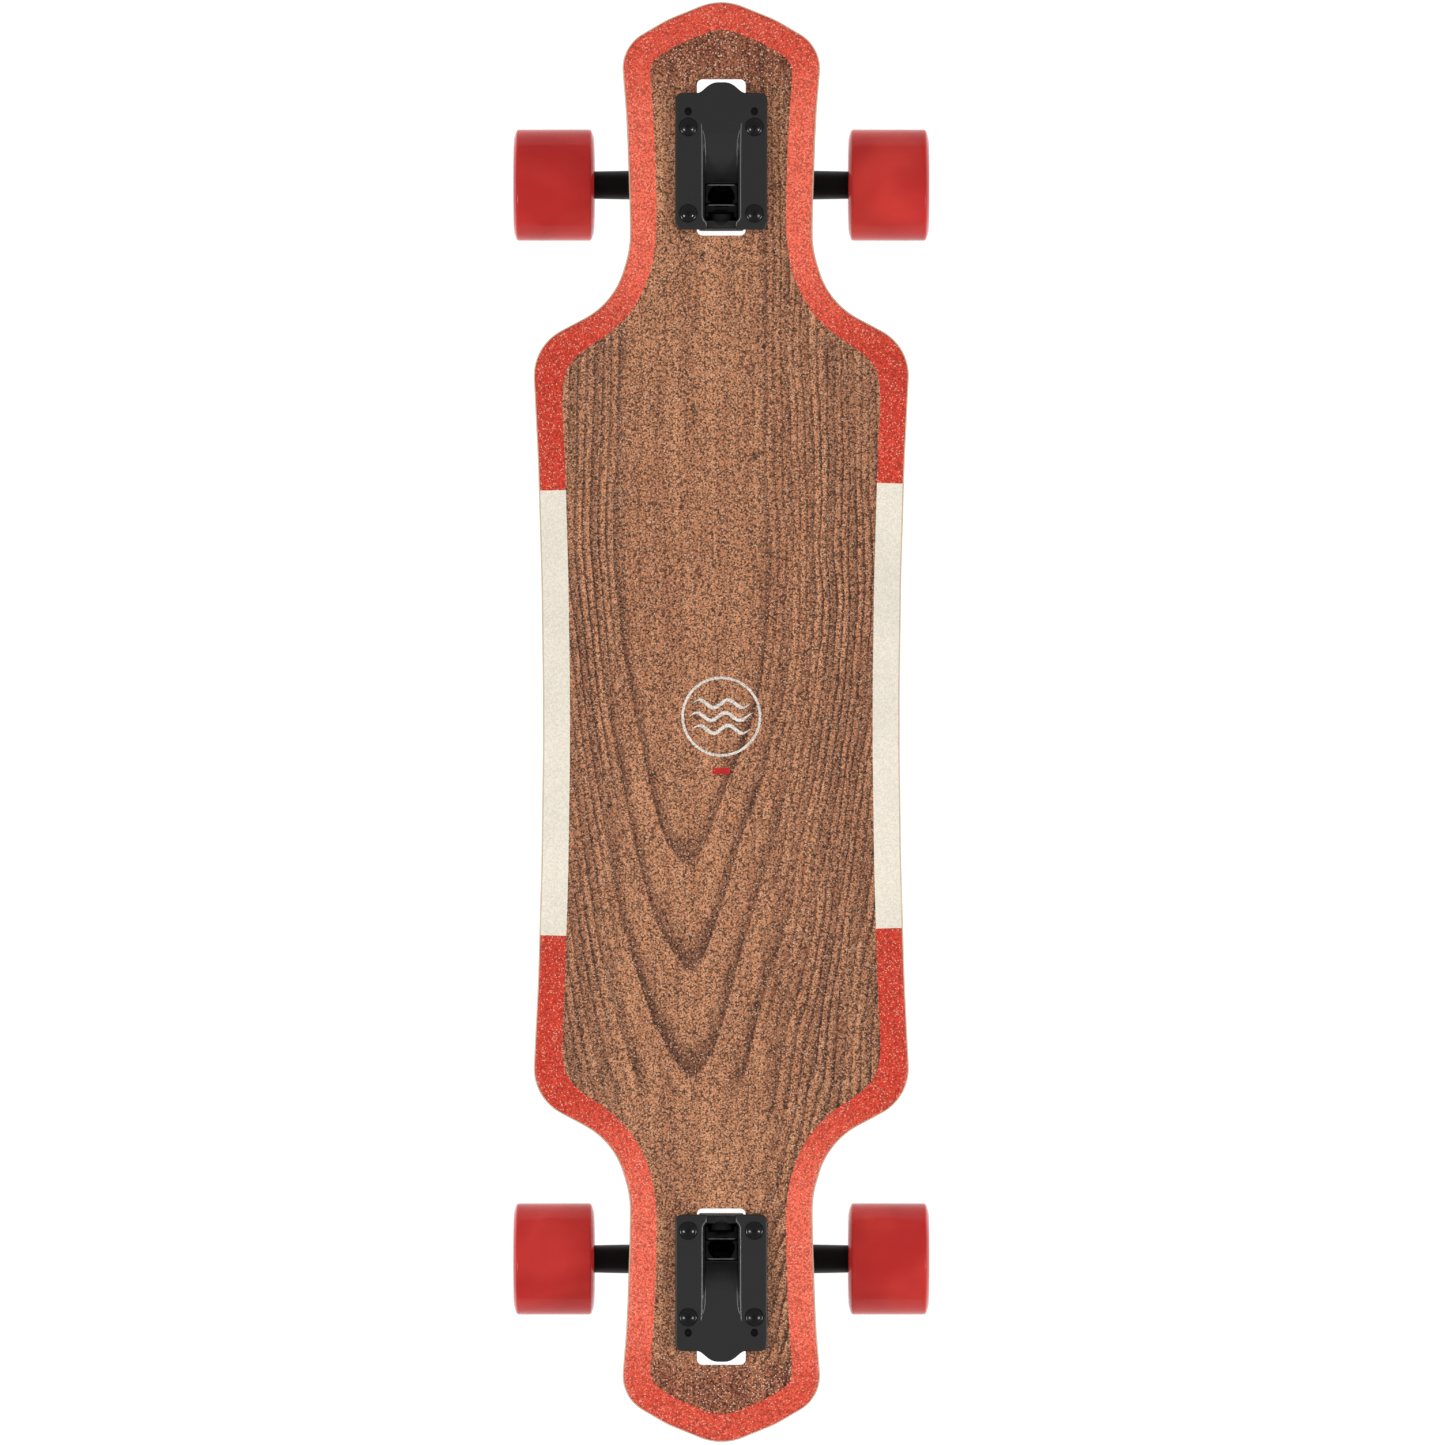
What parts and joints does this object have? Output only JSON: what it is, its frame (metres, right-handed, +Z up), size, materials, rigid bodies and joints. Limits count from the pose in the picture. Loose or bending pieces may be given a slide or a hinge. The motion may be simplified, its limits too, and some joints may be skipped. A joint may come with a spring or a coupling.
{
  "type": "drop-through longboard skateboard",
  "caption": "Drop-through longboard skateboard with a laminated concave deck, reverse-kingpin trucks that steer as it leans, and free-spinning urethane wheels.",
  "frame": {"origin": "on the floor under the middle of the deck, where the wheels stand", "axes": "+Y along the deck to the nose, +X to the right across it, +Z up"},
  "size_m": [0.261, 0.8998, 0.1038],
  "materials": {
    "clear_grip": "clear sprayed coat full of fine glass grit",
    "walnut_veneer": "walnut face veneer with a printed red border and cream flashes",
    "maple_plies": "pressed maple plies, sealed edge",
    "black_casting": "satin black powder coat on cast aluminium",
    "black_urethane": "matt black urethane",
    "dark_steel": "blackened steel",
    "zinc_steel": "zinc-plated steel",
    "bright_steel": "ground bearing steel",
    "black_steel": "gloss black oxide",
    "bushing_urethane": "cast red urethane",
    "wheel_urethane": "glossy translucent red urethane",
    "wheel_core": "moulded nylon hub"
  },
  "bodies": {
    "deck": {"grip_coat": "clear_grip", "face_veneer": "walnut_veneer", "maple_core": "maple_plies", "base_veneer": "walnut_veneer", "nose_baseplate": "black_casting", "nose_pivot_cup": "black_urethane", "nose_kingpin": "dark_steel", "nose_kingpin_nut": "zinc_steel", "nose_upper_bushing": "bushing_urethane", "nose_lower_bushing": "bushing_urethane", "nose_cup_washers": "zinc_steel", "nose_mounting_bolts": "black_steel", "nose_mounting_nuts": "zinc_steel", "tail_baseplate": "black_casting", "tail_pivot_cup": "black_urethane", "tail_kingpin": "dark_steel", "tail_kingpin_nut": "zinc_steel", "tail_upper_bushing": "bushing_urethane", "tail_lower_bushing": "bushing_urethane", "tail_cup_washers": "zinc_steel", "tail_mounting_bolts": "black_steel", "tail_mounting_nuts": "zinc_steel"},
    "nose_truck_hanger": {"nose_hanger": "black_casting", "nose_axle": "bright_steel", "nose_axle_nuts": "zinc_steel", "nose_speed_washers": "zinc_steel", "nose_bearing_spacers": "bright_steel", "nose_inner_races": "bright_steel"},
    "nose_right_wheel": {"nose_right_tyre": "wheel_urethane", "nose_right_core": "wheel_core", "nose_right_outer_races": "bright_steel", "nose_right_balls": "bright_steel", "nose_right_shields": "black_steel"},
    "nose_left_wheel": {"nose_left_tyre": "wheel_urethane", "nose_left_core": "wheel_core", "nose_left_outer_races": "bright_steel", "nose_left_balls": "bright_steel", "nose_left_shields": "black_steel"},
    "tail_truck_hanger": {"tail_hanger": "black_casting", "tail_axle": "bright_steel", "tail_axle_nuts": "zinc_steel", "tail_speed_washers": "zinc_steel", "tail_bearing_spacers": "bright_steel", "tail_inner_races": "bright_steel"},
    "tail_right_wheel": {"tail_right_tyre": "wheel_urethane", "tail_right_core": "wheel_core", "tail_right_outer_races": "bright_steel", "tail_right_balls": "bright_steel", "tail_right_shields": "black_steel"},
    "tail_left_wheel": {"tail_left_tyre": "wheel_urethane", "tail_left_core": "wheel_core", "tail_left_outer_races": "bright_steel", "tail_left_balls": "bright_steel", "tail_left_shields": "black_steel"}
  },
  "joints": [
    {"name": "nose_steering", "type": "hinge", "parent": "deck", "child": "nose_truck_hanger", "pos_m": [0, 0.35273, 0.06619], "axis": [0, 0.6428, 0.766], "range_deg": [-15, 15], "stiffness_Nm_per_rad": 70, "deforming": ["nose_upper_bushing", "nose_lower_bushing"]},
    {"name": "nose_right_spin", "type": "hinge", "parent": "nose_truck_hanger", "child": "nose_right_wheel", "pos_m": [0.105, 0.337, 0.035], "axis": [1, 0, 0], "continuous": true},
    {"name": "nose_left_spin", "type": "hinge", "parent": "nose_truck_hanger", "child": "nose_left_wheel", "pos_m": [-0.105, 0.337, 0.035], "axis": [1, 0, 0], "continuous": true},
    {"name": "tail_steering", "type": "hinge", "parent": "deck", "child": "tail_truck_hanger", "pos_m": [0, -0.35273, 0.06619], "axis": [0, -0.6428, 0.766], "range_deg": [-15, 15], "stiffness_Nm_per_rad": 70, "deforming": ["tail_upper_bushing", "tail_lower_bushing"]},
    {"name": "tail_right_spin", "type": "hinge", "parent": "tail_truck_hanger", "child": "tail_right_wheel", "pos_m": [0.105, -0.337, 0.035], "axis": [1, 0, 0], "continuous": true},
    {"name": "tail_left_spin", "type": "hinge", "parent": "tail_truck_hanger", "child": "tail_left_wheel", "pos_m": [-0.105, -0.337, 0.035], "axis": [1, 0, 0], "continuous": true}
  ]
}
